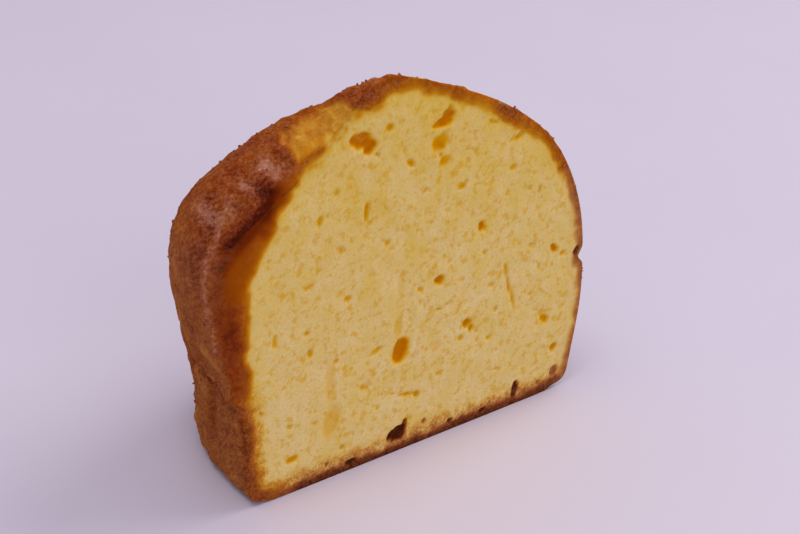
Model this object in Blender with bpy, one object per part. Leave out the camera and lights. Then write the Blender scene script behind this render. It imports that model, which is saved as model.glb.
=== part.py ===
"""Thick end slice of a small pound cake loaf, standing on its base.

The cut face is flat and looks along -Y.  Behind it the loaf rounds off into its browned end.
Metres, +Z up, origin at the middle of the bounding box's bottom.
"""
import math
from collections import namedtuple

import bmesh
import bpy
from mathutils import Vector
from mathutils.geometry import intersect_point_line

# Driving dimensions of the slice.
WIDTH = 0.085
HEIGHT = 0.076
DEPTH = 0.037

# Mesh density.
POINTS_AROUND = 132
LIP_RINGS = 7
END_RINGS = 21
STEPS_PER_SPAN = 16

# How the loaf closes behind the cut: a superellipse in plan and in side view.
# A larger power keeps the walls straight for longer before they turn in.
PLAN_POWER_AT_BASE = 3.1
PLAN_POWER_AT_DOME = 2.4
SIDE_POWER = 3.4
DOME_FALL = 0.24            # share of its height that the dome loses towards the end
MIDDLE = 0.515              # where the sections shrink to, as a share of the width
HEEL_RADIUS = 0.004         # rounding between the end wall and the base
LIP_REACH = 0.006           # depth over which the rings stay close together for the lip

# The section of the loaf, clockwise from the base's left end, as shares of WIDTH and HEIGHT.
# The lip is the rounded front edge of the crust, as shares of HEIGHT: it leans in by lip_width
# at the cut and is gone lip_depth behind it.
SectionPoint = namedtuple("SectionPoint", "across up lip_width lip_depth")
SECTION = [
    # base's left end and the rounded corner above it
    SectionPoint(0.240, 0.000, 0.000, 0.01),
    SectionPoint(0.136, 0.004, 0.000, 0.01),
    SectionPoint(0.095, 0.040, 0.000, 0.01),
    # left wall, up to the bulge under the dome
    SectionPoint(0.088, 0.160, 0.000, 0.01),
    SectionPoint(0.062, 0.316, 0.018, 0.03),
    SectionPoint(0.016, 0.500, 0.074, 0.05),
    SectionPoint(-0.006, 0.658, 0.107, 0.07),
    # the lobe where the dome has burst and folded over
    SectionPoint(0.028, 0.809, 0.120, 0.12),
    SectionPoint(0.136, 0.903, 0.110, 0.13),
    SectionPoint(0.240, 0.950, 0.064, 0.09),
    SectionPoint(0.330, 0.984, 0.014, 0.04),
    # dome
    SectionPoint(0.410, 1.000, 0.000, 0.01),
    SectionPoint(0.540, 0.953, 0.000, 0.01),
    SectionPoint(0.693, 0.877, 0.000, 0.01),
    SectionPoint(0.823, 0.776, 0.000, 0.01),
    SectionPoint(0.913, 0.651, 0.000, 0.01),
    # right wall, down to the sharp lower corner
    SectionPoint(0.972, 0.493, 0.000, 0.01),
    SectionPoint(1.000, 0.289, 0.000, 0.01),
    SectionPoint(0.994, 0.118, 0.000, 0.01),
    SectionPoint(0.981, 0.036, 0.000, 0.01),
    SectionPoint(0.935, 0.010, 0.000, 0.01),
    SectionPoint(0.850, 0.000, 0.000, 0.01),
]

# Folds in the crust: a line on the surface, as shares of WIDTH, DEPTH and HEIGHT, with the width
# of the fold and how far it rises (or, below zero, sinks), both in metres.
Fold = namedtuple("Fold", "line width rise")
FOLDS = [
    # crease under the lobe, where it folds over the left wall
    Fold([(0.122, 0.035, 0.812), (0.059, 0.038, 0.745), (0.024, 0.049, 0.659)], 0.0016, -0.0016),
    # rounded ridge down the front of the left wall
    Fold([(0.066, 0.146, 0.797), (0.009, 0.076, 0.643), (0.016, 0.062, 0.538), (0.062, 0.035, 0.311)],
         0.0018, 0.0007),
    # slanting crease where the upper crust laps over the lower wall
    Fold([(0.067, 0.500, 0.336), (0.058, 0.281, 0.322), (0.061, 0.097, 0.304), (0.078, 0.030, 0.228)],
         0.0018, -0.0014),
    # upright crease below it
    Fold([(0.058, 0.281, 0.322), (0.075, 0.338, 0.257), (0.095, 0.424, 0.182)], 0.0014, -0.0011),
    # hollow of the torn top, behind the lobe's tip
    Fold([(0.175, 0.162, 0.876), (0.235, 0.080, 0.900), (0.300, 0.030, 0.940)], 0.0034, -0.0016),
    # nick in the right wall, at the old rim line
    Fold([(0.985, 0.000, 0.395), (0.982, 0.150, 0.392), (0.975, 0.350, 0.388)], 0.0013, -0.0014),
]

# Larger holes of the crumb in the cut face: centre as shares of WIDTH and HEIGHT, then the
# hole's width, height and depth in metres and its tilt in degrees.
Hole = namedtuple("Hole", "across up width height depth tilt")
HOLES = [
    Hole(0.333, 0.862, 0.0044, 0.0040, 0.0022, -30),
    Hole(0.537, 0.876, 0.0046, 0.0025, 0.0018, 15),
    Hole(0.528, 0.817, 0.0036, 0.0027, 0.0018, 0),
    Hole(0.562, 0.450, 0.0025, 0.0032, 0.0016, 20),
    Hole(0.471, 0.291, 0.0034, 0.0054, 0.0026, 0),
    Hole(0.655, 0.307, 0.0030, 0.0023, 0.0016, 20),
    Hole(0.932, 0.132, 0.0026, 0.0023, 0.0016, 0),
    Hole(0.475, 0.055, 0.0040, 0.0030, 0.0024, 15),
    Hole(0.816, 0.057, 0.0021, 0.0034, 0.0018, 0),
]

CRUST_COLOUR = (0.30, 0.105, 0.03, 1.0)
CRUST_ROUGHNESS = 0.45


def clear_scene():
    for item in list(bpy.data.objects):
        bpy.data.objects.remove(item, do_unlink=True)


def make_collection(name):
    collection = bpy.data.collections.new(name)
    bpy.context.scene.collection.children.link(collection)
    return collection


def make_material(name, colour, roughness):
    material = bpy.data.materials.new(name)
    material.use_nodes = True
    shader = material.node_tree.nodes["Principled BSDF"]
    shader.inputs["Base Color"].default_value = colour
    shader.inputs["Roughness"].default_value = roughness
    shader.inputs["Metallic"].default_value = 0.0
    return material


def blend(share):
    """Smooth step from 0 to 1 as share goes from 0 to 1."""
    share = min(max(share, 0.0), 1.0)
    return share * share * (3.0 - 2.0 * share)


def superellipse(share, power):
    """What is left of a half-width at this share of the depth."""
    return max(1.0 - min(share, 1.0) ** power, 0.0) ** (1.0 / power)


def curve_point(before, start, end, after, t):
    """Catmull-Rom curve between start and end, in every column of the section points."""
    values = []
    for a, b, c, d in zip(before, start, end, after):
        bend = (2 * a - 5 * b + 4 * c - d) * t * t + (3 * b - a - 3 * c + d) * t ** 3
        values.append(0.5 * (2 * b + (c - a) * t + bend))
    return SectionPoint(values[0], max(values[1], 0.0), max(values[2], 0.0), max(values[3], 0.01))


def smooth_section():
    """The closed section curve, sampled at equal distances."""
    fine = []
    count = len(SECTION)
    for i, start in enumerate(SECTION):
        before, end, after = SECTION[i - 1], SECTION[(i + 1) % count], SECTION[(i + 2) % count]
        for step in range(STEPS_PER_SPAN):
            t = step / STEPS_PER_SPAN
            fine.append(curve_point(before, start, end, after, t))
    lengths = [0.0]
    for a, b in zip(fine, fine[1:] + fine[:1]):
        step = math.hypot((b.across - a.across) * WIDTH, (b.up - a.up) * HEIGHT)
        lengths.append(lengths[-1] + step)
    samples = []
    span = 0
    for k in range(POINTS_AROUND):
        target = lengths[-1] * k / POINTS_AROUND
        while lengths[span + 1] < target:
            span += 1
        t = (target - lengths[span]) / (lengths[span + 1] - lengths[span])
        a, b = fine[span], fine[(span + 1) % len(fine)]
        samples.append(SectionPoint(*[p + (q - p) * t for p, q in zip(a, b)]))
    return samples


def inward_normals(section):
    normals = []
    count = len(section)
    for k in range(count):
        a, b = section[k - 1], section[(k + 1) % count]
        along = Vector(((b.across - a.across) * WIDTH, (b.up - a.up) * HEIGHT)).normalized()
        normals.append(Vector((along.y, -along.x)))
    return normals


def surface_point(point, inward, depth):
    """Where a section point lies at a depth behind the cut."""
    share = depth / DEPTH
    lip_reach = point.lip_depth * HEIGHT
    lean = 1.0 - min(depth / lip_reach, 1.0)
    inset = point.lip_width * HEIGHT * (1.0 - math.sqrt(1.0 - lean * lean))
    x = point.across * WIDTH + inward.x * inset
    z = max(point.up * HEIGHT + inward.y * inset, 0.0)
    power = PLAN_POWER_AT_BASE + (PLAN_POWER_AT_DOME - PLAN_POWER_AT_BASE) * blend(point.up / 0.6)
    middle = MIDDLE * WIDTH
    x = middle + (x - middle) * superellipse(share, power)
    z = z * superellipse(share, SIDE_POWER) * (1.0 - DOME_FALL * share)
    return Vector((x, depth - heel_rounding(share, z), z))


def heel_rounding(share, height):
    """How far the end wall draws in just above the base."""
    if height >= HEEL_RADIUS:
        return 0.0
    lean = 1.0 - height / HEEL_RADIUS
    return share ** 8 * HEEL_RADIUS * (1.0 - math.sqrt(1.0 - lean * lean))


def distance_to_line(place, line):
    nearest = []
    for start, end in zip(line, line[1:]):
        start = Vector((start[0] * WIDTH, start[1] * DEPTH, start[2] * HEIGHT))
        end = Vector((end[0] * WIDTH, end[1] * DEPTH, end[2] * HEIGHT))
        on_line, share = intersect_point_line(place, start, end)
        on_line = start.lerp(end, min(max(share, 0.0), 1.0))
        nearest.append((place - on_line).length)
    return min(nearest)


def fold_rise(place):
    """How far the folds lift the crust here."""
    rise = 0.0
    for fold in FOLDS:
        distance = distance_to_line(place, fold.line)
        rise += fold.rise * math.exp(-(distance / fold.width) ** 2)
    return rise


def ring_depths():
    """Depths of the rings: close together at the lip and again where the end turns in."""
    depths = [LIP_REACH * (k / LIP_RINGS) ** 1.3 for k in range(LIP_RINGS)]
    first = math.asin((LIP_REACH / DEPTH) ** 1.5)
    for k in range(END_RINGS):
        turned = 1.0 - (1.0 - k / END_RINGS) ** 1.4
        angle = first + (0.5 * math.pi - first) * turned
        depths.append(DEPTH * math.sin(angle) ** (1.0 / 1.5))
    return depths


def build_slice(collection, material):
    """Loft the section back to the end, whose last small ring closes in one point."""
    section = smooth_section()
    normals = inward_normals(section)
    mesh = bmesh.new()
    rings = []
    for depth in ring_depths():
        ring = []
        for point, inward in zip(section, normals):
            place = surface_point(point, inward, depth)
            if place.z > 0.0005:
                rise = fold_rise(place)
                place.x -= inward.x * rise
                place.z -= inward.y * rise
            ring.append(mesh.verts.new(place))
        rings.append(ring)
    for ring, behind in zip(rings, rings[1:]):
        for k in range(POINTS_AROUND):
            after = (k + 1) % POINTS_AROUND
            mesh.faces.new((ring[k], ring[after], behind[after], behind[k]))
    mesh.faces.new(list(reversed(rings[0])))
    middle = sum((vertex.co for vertex in rings[-1]), Vector()) / POINTS_AROUND
    middle.y = DEPTH - heel_rounding(1.0, middle.z)
    end = mesh.verts.new(middle)
    for k in range(POINTS_AROUND):
        mesh.faces.new((rings[-1][k], rings[-1][(k + 1) % POINTS_AROUND], end))
    bmesh.ops.recalc_face_normals(mesh, faces=mesh.faces)
    return make_object("cake_slice", mesh, collection, material)


def make_object(name, mesh, collection, material):
    data = bpy.data.meshes.new(name)
    mesh.to_mesh(data)
    mesh.free()
    if material:
        data.materials.append(material)
    item = bpy.data.objects.new(name, data)
    collection.objects.link(item)
    return item


def cut_holes(cake, collection):
    """Cut the larger holes of the crumb with half-sunk ellipsoids."""
    for number, hole in enumerate(HOLES):
        mesh = bmesh.new()
        bmesh.ops.create_icosphere(mesh, subdivisions=2, radius=0.5)
        bmesh.ops.scale(mesh, vec=(hole.width, 2.0 * hole.depth, hole.height), verts=mesh.verts)
        cutter = make_object(f"hole_cutter_{number}", mesh, collection, None)
        cutter.location = (hole.across * WIDTH, 0.0, hole.up * HEIGHT)
        cutter.rotation_euler.y = math.radians(hole.tilt)
        cutter.hide_render = True
        cutter.display_type = "WIRE"
        cut = cake.modifiers.new(f"hole_{number}", "BOOLEAN")
        cut.operation = "DIFFERENCE"
        cut.solver = "EXACT"
        cut.object = cutter


def stand_on_origin(pieces, cake):
    """Move everything so that the slice's box has its bottom middle at the origin."""
    corners = [vertex.co for vertex in cake.data.vertices]
    low = Vector([min(corner[axis] for corner in corners) for axis in range(3)])
    high = Vector([max(corner[axis] for corner in corners) for axis in range(3)])
    shift = Vector(((low.x + high.x) / 2.0, (low.y + high.y) / 2.0, low.z))
    for piece in pieces:
        piece.location -= shift


def main():
    clear_scene()
    parts = make_collection("pound_cake_slice")
    cutters = make_collection("cutters")
    crust = make_material("crust", CRUST_COLOUR, CRUST_ROUGHNESS)
    cake = build_slice(parts, crust)
    cut_holes(cake, cutters)
    stand_on_origin([cake] + list(cutters.objects), cake)
    cake.data.shade_smooth()
    cake.data.set_sharp_from_angle(angle=math.radians(40))


main()
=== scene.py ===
"""Looks of the pound cake slice: its baked crust, its crumb with pores and holes, the browned
granules on the crust, and the floor, light and camera.  Lengths are in millimetres until the
meshes are made; x runs across the section from the loaf's left, y back from the cut, z up."""
import math

import bmesh
import bpy
import numpy as np
from mathutils import Matrix, Vector


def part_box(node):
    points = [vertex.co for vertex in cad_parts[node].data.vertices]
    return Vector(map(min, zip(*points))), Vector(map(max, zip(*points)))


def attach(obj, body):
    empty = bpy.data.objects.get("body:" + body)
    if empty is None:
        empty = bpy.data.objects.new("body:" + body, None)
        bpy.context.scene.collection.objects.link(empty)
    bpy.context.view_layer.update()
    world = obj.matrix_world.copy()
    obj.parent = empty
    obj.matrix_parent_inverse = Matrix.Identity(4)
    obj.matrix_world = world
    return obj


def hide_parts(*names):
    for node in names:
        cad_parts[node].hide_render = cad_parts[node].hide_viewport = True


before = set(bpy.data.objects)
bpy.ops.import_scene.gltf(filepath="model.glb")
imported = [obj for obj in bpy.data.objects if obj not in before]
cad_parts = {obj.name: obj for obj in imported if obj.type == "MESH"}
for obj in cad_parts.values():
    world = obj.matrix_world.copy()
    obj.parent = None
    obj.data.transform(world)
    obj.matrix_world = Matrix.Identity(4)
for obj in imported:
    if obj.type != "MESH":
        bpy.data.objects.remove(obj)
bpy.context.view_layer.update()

slice_low, slice_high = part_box("cake_slice")

MM = 0.001
WIDTH = 85.0
HEIGHT = 76.0
DEPTH = 37.0
# Behind the cut the loaf narrows and sinks as superellipses of these powers, towards a line at
# MIDDLE, a share of WIDTH.  DOME_FALL is the share of the height that falls away besides, and
# HEEL_RADIUS rounds the foot of the back.
PLAN_POWER_AT_BASE = 3.1
PLAN_POWER_AT_DOME = 2.4
SIDE_POWER = 3.4
DOME_FALL = 0.24
MIDDLE = 0.515
HEEL_RADIUS = 4.0

# The section, clockwise from the base's left end.  Across and up are shares of WIDTH and HEIGHT.
# The rounded lip of the crust leans in at the cut by lip_width and reaches back by lip_depth,
# both shares of HEIGHT.  Crust is how thick the browned rim is on the cut, in millimetres.
ACROSS, UP, LIP_WIDTH, LIP_DEPTH, CRUST = range(5)
SECTION = np.array([
    (0.240, 0.000, 0.000, 0.01, 1.8), (0.126, 0.012, 0.000, 0.01, 2.3),
    (0.096, 0.045, 0.000, 0.01, 2.6), (0.089, 0.160, 0.000, 0.01, 1.3),
    (0.062, 0.316, 0.018, 0.03, 1.6), (0.016, 0.500, 0.074, 0.05, 0.3),
    (-0.006, 0.658, 0.107, 0.07, 1.9), (0.028, 0.809, 0.120, 0.12, 3.3),
    (0.136, 0.903, 0.110, 0.13, 0.8), (0.240, 0.950, 0.064, 0.09, 0.5),
    (0.330, 0.984, 0.014, 0.04, 3.2), (0.410, 1.000, 0.000, 0.01, 2.9),
    (0.540, 0.953, 0.000, 0.01, 2.3), (0.693, 0.877, 0.000, 0.01, 2.7),
    (0.823, 0.776, 0.000, 0.01, 2.2), (0.913, 0.651, 0.000, 0.01, 2.0),
    (0.972, 0.493, 0.000, 0.01, 2.0), (1.000, 0.289, 0.000, 0.01, 1.4),
    (0.994, 0.118, 0.000, 0.01, 1.5), (0.981, 0.036, 0.000, 0.01, 1.7),
    (0.935, 0.010, 0.000, 0.01, 1.9), (0.850, 0.000, 0.000, 0.01, 1.9),
])

# Folds of the crust: a line of places, how wide the fold is and how far it rises, or sinks where
# that is below zero.
CREASE = [(12.5, 0.0, 57.7), (10.2, 0.0, 56.1), (7.6, 0.1, 54.4), (5.1, 0.4, 52.1),
          (3.3, 0.8, 49.8), (2.7, 1.0, 48.9)]
RIDGE = [(5.7, 2.6, 60.0), (4.5, 2.4, 58.4), (2.6, 2.2, 54.4), (1.5, 2.3, 51.8), (0.8, 2.6, 49.7),
         (0.5, 2.6, 46.9), (0.6, 2.6, 43.6), (1.1, 2.5, 40.9), (2.3, 2.2, 35.4), (2.8, 2.4, 32.9)]
OUTER_VALLEY = [(2.6, 3.4, 57.0), (1.4, 3.4, 54.4), (0.6, 3.5, 51.5)]
VALLEY = [(2.8, 0.9, 46.5), (3.2, 0.7, 42.4), (4.0, 0.6, 36.6)]
LOW_VALLEY = [(6.6, 0.6, 19.0), (7.2, 0.8, 14.5), (7.6, 1.0, 11.0)]
SKIRT = [(8.1, 19.9, 19.7), (6.7, 17.1, 22.5), (5.5, 10.6, 22.8), (5.6, 5.5, 21.6),
         (5.8, 2.6, 20.9)]
SKIRT_LIP = [(5.3, 9.0, 24.6), (5.3, 4.4, 23.2), (5.6, 2.4, 22.3)]
UPRIGHT = [(5.7, 8.9, 22.2), (7.0, 11.4, 16.8), (8.0, 13.2, 11.1)]
TORN_TOP = [(18.0, 3.0, 68.0), (21.0, 2.0, 69.6), (23.6, 1.0, 71.0)]
HOLLOW_SPOT = [(10.1, 0.8, 61.1), (12.0, 0.1, 60.0)]
FOLDS = [
    (CREASE, 0.75, -1.2),
    (RIDGE, 0.6, 0.8),
    (OUTER_VALLEY, 1.1, -0.4),
    (VALLEY, 1.1, -0.8),
    (LOW_VALLEY, 0.9, -0.5),
    (SKIRT, 1.0, -1.2),
    (SKIRT_LIP, 0.9, 0.6),
    (UPRIGHT, 1.3, -1.0),
    (TORN_TOP, 2.6, -0.3),
    (HOLLOW_SPOT, 1.6, -0.8),
    ([(30.0, 14.0, 68.0), (37.0, 20.0, 65.0)], 8.0, -0.7),
    ([(2.0, 8.0, 58.0), (8.0, 9.0, 63.0), (16.0, 9.0, 68.0)], 4.0, 0.6),
    ([(19.5, 9.0, 68.4), (22.5, 8.5, 69.2)], 3.4, 0.9),
    ([(83.7, 0.0, 30.0), (83.5, 5.5, 29.8), (82.9, 13.0, 29.5)], 1.3, -1.4),
    ([(82.4, 0.0, 2.6), (82.4, 2.0, 2.4)], 1.8, 0.5),
]
# Places where the crust shines, and how wide each is: it is glossier there and gets a painted highlight
# in its colour.
SHEENS = [
    ([(2.3, 6.1, 57.6), (2.9, 3.3, 57.1)], 1.5),
    ([(4.9, 3.0, 59.6), (4.9, 1.7, 57.8)], 0.7),
    ([(7.7, 2.8, 61.7), (9.1, 1.3, 61.2)], 0.8),
    ([(11.5, 2.8, 64.3), (12.7, 1.1, 63.5), (15.6, 0.1, 62.6)], 1.3),
    ([(28.5, 3.5, 73.6), (33.0, 2.5, 75.0)], 1.2),
    ([(57.0, 1.5, 67.2), (66.0, 1.5, 61.8)], 1.2),
]
# Lines of colour: painted shade beside the crease, a painted sheen that pales a stretch of the wall,
# two golden edges of the patch where the crust is torn off, and the smooth golden strip beside the cut.
CREASE_SHADE = [(11.3, 0.2, 58.9), (9.2, 0.3, 57.3), (6.8, 0.5, 55.5), (4.5, 0.8, 53.1)]
WALL_PAINTED_SHEEN = [(3.0, 6.8, 31.0), (3.7, 3.8, 29.0)]
TIP = [(15.4, 0.0, 62.9), (17.6, 0.1, 64.9), (20.0, 0.1, 66.3)]
APEX_EDGE = [(24.6, 0.0, 70.9), (31.5, 0.0, 71.7)]
STRIP = [(15.2, 0.0, 61.0), (12.2, 0.0, 55.3), (8.5, 0.0, 52.6), (6.3, 0.1, 49.0), (5.0, 0.2, 44.9)]
TORN_WIDTH = 5.0

# Holes in the cut: across, up, width, height, tilt in degrees, depth.
HOLES = [
    (28.6, 65.9, 5.0, 3.3, -20, 2.6), (30.3, 64.5, 2.8, 3.0, -30, 2.4), (31.8, 62.9, 1.6, 0.9, -50, 1.0),
    (45.5, 65.7, 5.2, 1.9, 6, 2.2), (46.7, 66.7, 2.7, 2.9, 0, 2.2), (46.9, 68.2, 0.9, 1.0, 10, 1.0),
    (45.1, 61.9, 4.4, 3.6, 0, 1.3), (45.6, 59.8, 1.2, 1.6, 0, 1.0), (46.5, 58.5, 2.6, 2.8, 20, 1.0),
    (34.1, 67.2, 1.8, 1.5, 0, 1.0), (39.3, 59.5, 2.6, 1.2, -40, 1.1), (24.0, 57.7, 1.3, 1.4, 0, 0.9),
    (20.8, 53.3, 1.3, 2.0, 0, 1.0), (30.3, 52.5, 1.2, 4.2, 0, 1.2), (31.2, 50.6, 1.0, 1.2, 0, 0.8),
    (51.1, 52.5, 2.3, 1.5, 10, 1.1), (51.9, 53.2, 1.0, 1.8, 0, 0.9), (42.8, 53.7, 1.8, 1.0, 20, 0.8),
    (62.8, 53.5, 2.0, 1.5, 0, 0.9), (63.8, 59.5, 2.6, 1.2, 30, 1.3), (65.0, 60.8, 1.8, 1.4, 0, 1.2),
    (57.0, 63.5, 2.8, 0.8, -25, 1.0), (56.6, 43.2, 1.4, 2.2, 0, 1.6), (57.6, 42.6, 1.2, 1.2, 0, 0.9),
    (19.1, 41.5, 2.4, 1.1, 20, 1.0), (27.3, 37.0, 1.9, 1.2, 0, 1.0), (47.8, 34.7, 2.3, 2.4, 45, 1.9),
    (43.3, 34.0, 1.5, 1.2, 0, 0.9), (19.1, 32.6, 1.3, 1.4, 0, 1.0), (12.6, 33.0, 1.0, 3.0, 0, 0.8),
    (78.6, 31.6, 1.8, 1.1, 0, 1.0), (76.1, 33.5, 1.5, 2.9, 42, 1.6),
    (63.9, 32.0, 0.9, 3.8, 12, 0.9), (64.9, 28.8, 0.9, 5.4, 14, 0.9), (66.4, 25.2, 1.0, 5.6, 16, 0.9),
    (50.2, 29.2, 2.2, 0.8, 25, 0.8), (48.0, 28.6, 2.0, 0.9, -15, 1.0), (19.8, 28.3, 1.2, 1.9, 0, 1.0),
    (39.9, 22.4, 4.0, 5.6, -8, 2.4), (38.8, 27.4, 2.0, 5.0, 0, 0.5), (34.6, 24.2, 3.4, 1.1, 20, 1.0),
    (25.5, 24.8, 1.5, 1.0, 0, 0.9), (55.6, 23.3, 2.5, 2.1, 10, 1.7), (56.6, 21.9, 1.2, 1.8, 0, 1.3),
    (54.3, 20.4, 1.3, 1.5, 0, 0.9), (62.3, 24.5, 1.2, 1.5, 0, 0.8), (61.3, 18.3, 1.5, 1.0, 0, 0.9),
    (75.8, 17.8, 1.9, 3.0, 30, 1.3), (74.8, 19.6, 1.6, 1.6, 0, 0.7), (31.7, 17.3, 1.3, 1.0, 0, 0.9),
    (38.8, 13.4, 1.6, 1.0, 0, 0.9), (42.0, 12.2, 5.6, 0.9, -14, 1.0), (44.4, 11.4, 1.8, 1.5, 0, 1.2),
    (64.3, 10.2, 2.6, 0.7, -14, 0.8), (79.3, 10.2, 2.2, 2.2, 0, 1.5), (16.9, 7.4, 2.2, 1.6, 10, 1.2),
    (27.8, 5.8, 1.3, 1.0, 0, 1.0), (16.0, 14.6, 1.2, 0.9, 0, 0.8), (21.4, 13.4, 1.4, 1.1, 0, 0.7),
    (49.6, 14.2, 1.8, 0.9, 0, 0.8), (35.4, 11.6, 1.2, 1.4, 0, 0.8), (58.0, 37.6, 1.1, 1.5, 0, 0.8),
    (71.0, 24.8, 1.4, 1.0, 0, 0.7), (69.6, 36.0, 1.3, 0.9, 0, 0.7), (60.6, 30.0, 1.6, 1.1, -20, 0.7),
    (35.3, 45.5, 1.2, 1.6, 0, 0.8), (25.4, 46.8, 1.2, 1.4, 0, 0.8), (70.2, 47.4, 0.8, 1.8, 0, 0.8),
]
# Holes that open on the base crust and are browned inside, in the same form.
SCORCHED_HOLES = [
    (40.4, 4.0, 4.0, 3.2, 8, 2.2), (42.1, 5.3, 1.3, 3.0, -8, 0.8), (69.9, 3.3, 1.7, 4.2, 0, 0.85),
    (30.0, 1.6, 2.8, 1.3, 15, 1.1), (61.6, 1.6, 1.5, 0.9, 0, 0.9), (53.4, 2.0, 1.3, 0.9, 0, 0.8),
    (24.6, 3.4, 1.0, 0.8, 0, 0.6), (47.0, 4.4, 0.9, 0.7, 0, 0.5), (76.2, 3.2, 1.0, 0.8, 0, 0.6),
    (82.5, 31.2, 2.0, 2.6, 20, 0.85), (80.3, 4.3, 2.4, 3.0, 0, 0.5),
]
# Shallow smooth patches, where a large bubble was cut just short: same form.
PATCHES = [
    (25.0, 12.4, 4.4, 8.6, -8, 0.7), (24.4, 20.0, 3.0, 13.0, 4, 0.4), (48.0, 21.0, 3.0, 2.4, 0, 0.3),
    (38.8, 36.0, 2.2, 8.0, 0, 0.25),
]

SPAN_STEPS = 40
# Where the four corners of the cut's grid lie on the section, counted in rows of SECTION.
GRID_CORNERS = (1.5, 8.0, 14.3, 19.5)
# The mesh: a grid over the cut, fine rings round its lip, coarse rings RING_PITCH apart behind
# them, and a grid over the back end from the share CAP_STARTS of DEPTH.
FACE_COLUMNS = 200
FACE_ROWS = 190
CAP_COLUMNS = FACE_COLUMNS // 2
CAP_ROWS = FACE_ROWS // 2
FINE_RINGS = 26
FINE_STEP = 0.0125
RING_PITCH = 0.62
CAP_STARTS = 0.84
CAP_POWER = 3.0
PORES = 380
GRAINS = 1100
SEED = 7

# The texture map: the cut and the back end side by side, and the crust above them in strips.
CUT_CORNER = (0.01, 0.01)
END_CORNER = (0.51, 0.01)
CUT_SIZE = (0.45, 0.39)
STRIP_COLUMNS = 260
STRIP_PITCH = 0.00187
STRIP_HEIGHT = 0.275
STRIP_CORNERS = np.array([(0.005, 0.42), (0.505, 0.42), (0.005, 0.71)])


# ---- smooth random fields

def blend(share):
    """Smooth step from 0 to 1."""
    share = np.clip(share, 0.0, 1.0)
    return share * share * (3.0 - 2.0 * share)


def noise(places, cell, seed):
    """Smooth random field from -1 to 1 whose lumps are about one cell wide."""
    size = 48
    lattice = np.random.default_rng(seed).uniform(-1.0, 1.0, (size, size, size))
    scaled = np.asarray(places, float) / cell
    corner = np.floor(scaled).astype(int)
    share = blend(scaled - corner)
    total = np.zeros(len(scaled))
    for step in np.ndindex(2, 2, 2):
        weight = np.prod(np.where(step, share, 1.0 - share), axis=1)
        i, j, k = ((corner + step) % size).T
        total += weight * lattice[i, j, k]
    return total


def layered_noise(places, cell, seed, layers=3):
    """Noise with finer and weaker layers on top of it."""
    total = np.zeros(len(places))
    for layer in range(layers):
        total += noise(places, cell / 2.1 ** layer, seed + layer) / 2.0 ** layer
    return total


def line_distance(places, line):
    """Distance from each place to a line of straight stretches."""
    nearest = np.full(len(places), np.inf)
    for start, end in zip(line[:-1], line[1:]):
        along = end - start
        share = np.clip((places - start) @ along / (along @ along), 0.0, 1.0)
        gap = places - start - share[:, None] * along
        nearest = np.minimum(nearest, np.linalg.norm(gap, axis=1))
    return nearest


# ---- the loaf's smooth form

def smooth_section():
    """The closed section curve, one row for each corner round the rim of the cut's grid."""
    t = np.linspace(0.0, 1.0, SPAN_STEPS, endpoint=False)[:, None]
    spans = []
    for k in range(len(SECTION)):
        a, b, c, d = (SECTION[(k + step) % len(SECTION)] for step in (-1, 0, 1, 2))
        bend = (2 * a - 5 * b + 4 * c - d) * t ** 2 + (3 * b - a - 3 * c + d) * t ** 3
        spans.append(0.5 * (2 * b + (c - a) * t + bend))
    fine = np.vstack(spans)
    fine[:, UP:LIP_DEPTH] = np.maximum(fine[:, UP:LIP_DEPTH], 0.0)
    fine[:, LIP_DEPTH] = np.maximum(fine[:, LIP_DEPTH], 0.01)
    closed = np.vstack([fine, fine[:1]])
    steps = np.diff(closed[:, :LIP_WIDTH], axis=0) * (WIDTH, HEIGHT)
    length = np.concatenate([[0.0], np.cumsum(np.linalg.norm(steps, axis=1))])
    corners = [length[int(SPAN_STEPS * span)] for span in GRID_CORNERS]
    corners.append(corners[0] + length[-1])
    sides = (FACE_ROWS, FACE_COLUMNS, FACE_ROWS, FACE_COLUMNS)
    targets = [np.linspace(corners[k], corners[k + 1], sides[k], endpoint=False) for k in range(4)]
    targets = np.concatenate(targets) % length[-1]
    return np.stack([np.interp(targets, length, column) for column in closed.T], axis=1)


def section_normals(section):
    """Unit normals of the section, pointing into the loaf."""
    outline = section[:, :LIP_WIDTH] * (WIDTH, HEIGHT)
    along = np.roll(outline, -1, axis=0) - np.roll(outline, 1, axis=0)
    along /= np.linalg.norm(along, axis=1)[:, None]
    return np.stack([along[:, 1], -along[:, 0]], axis=1)


def superellipse(share, power):
    """Height of a superellipse of that power at a share of the way to its end."""
    return np.maximum(1.0 - np.minimum(share, 1.0) ** power, 0.0) ** (1.0 / power)


def loaf_surface(section, inward, depth):
    """Where section points lie at a depth behind the cut."""
    share = depth / DEPTH
    lean = 1.0 - np.minimum(depth / (section[:, LIP_DEPTH] * HEIGHT), 1.0)
    inset = section[:, LIP_WIDTH] * HEIGHT * (1.0 - np.sqrt(1.0 - lean ** 2))
    x = section[:, ACROSS] * WIDTH + inward[:, 0] * inset
    z = np.maximum(section[:, UP] * HEIGHT + inward[:, 1] * inset, 0.0)
    turn = PLAN_POWER_AT_DOME - PLAN_POWER_AT_BASE
    power = PLAN_POWER_AT_BASE + turn * blend(section[:, UP] / 0.6)
    middle = MIDDLE * WIDTH
    x = middle + (x - middle) * superellipse(share, power)
    z = z * superellipse(share, SIDE_POWER) * (1.0 - DOME_FALL * share)
    heel = np.clip(1.0 - z / HEEL_RADIUS, 0.0, 1.0)
    y = depth - share ** 8 * HEEL_RADIUS * (1.0 - np.sqrt(1.0 - heel ** 2))
    return np.stack([x, y, z], axis=1)


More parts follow.
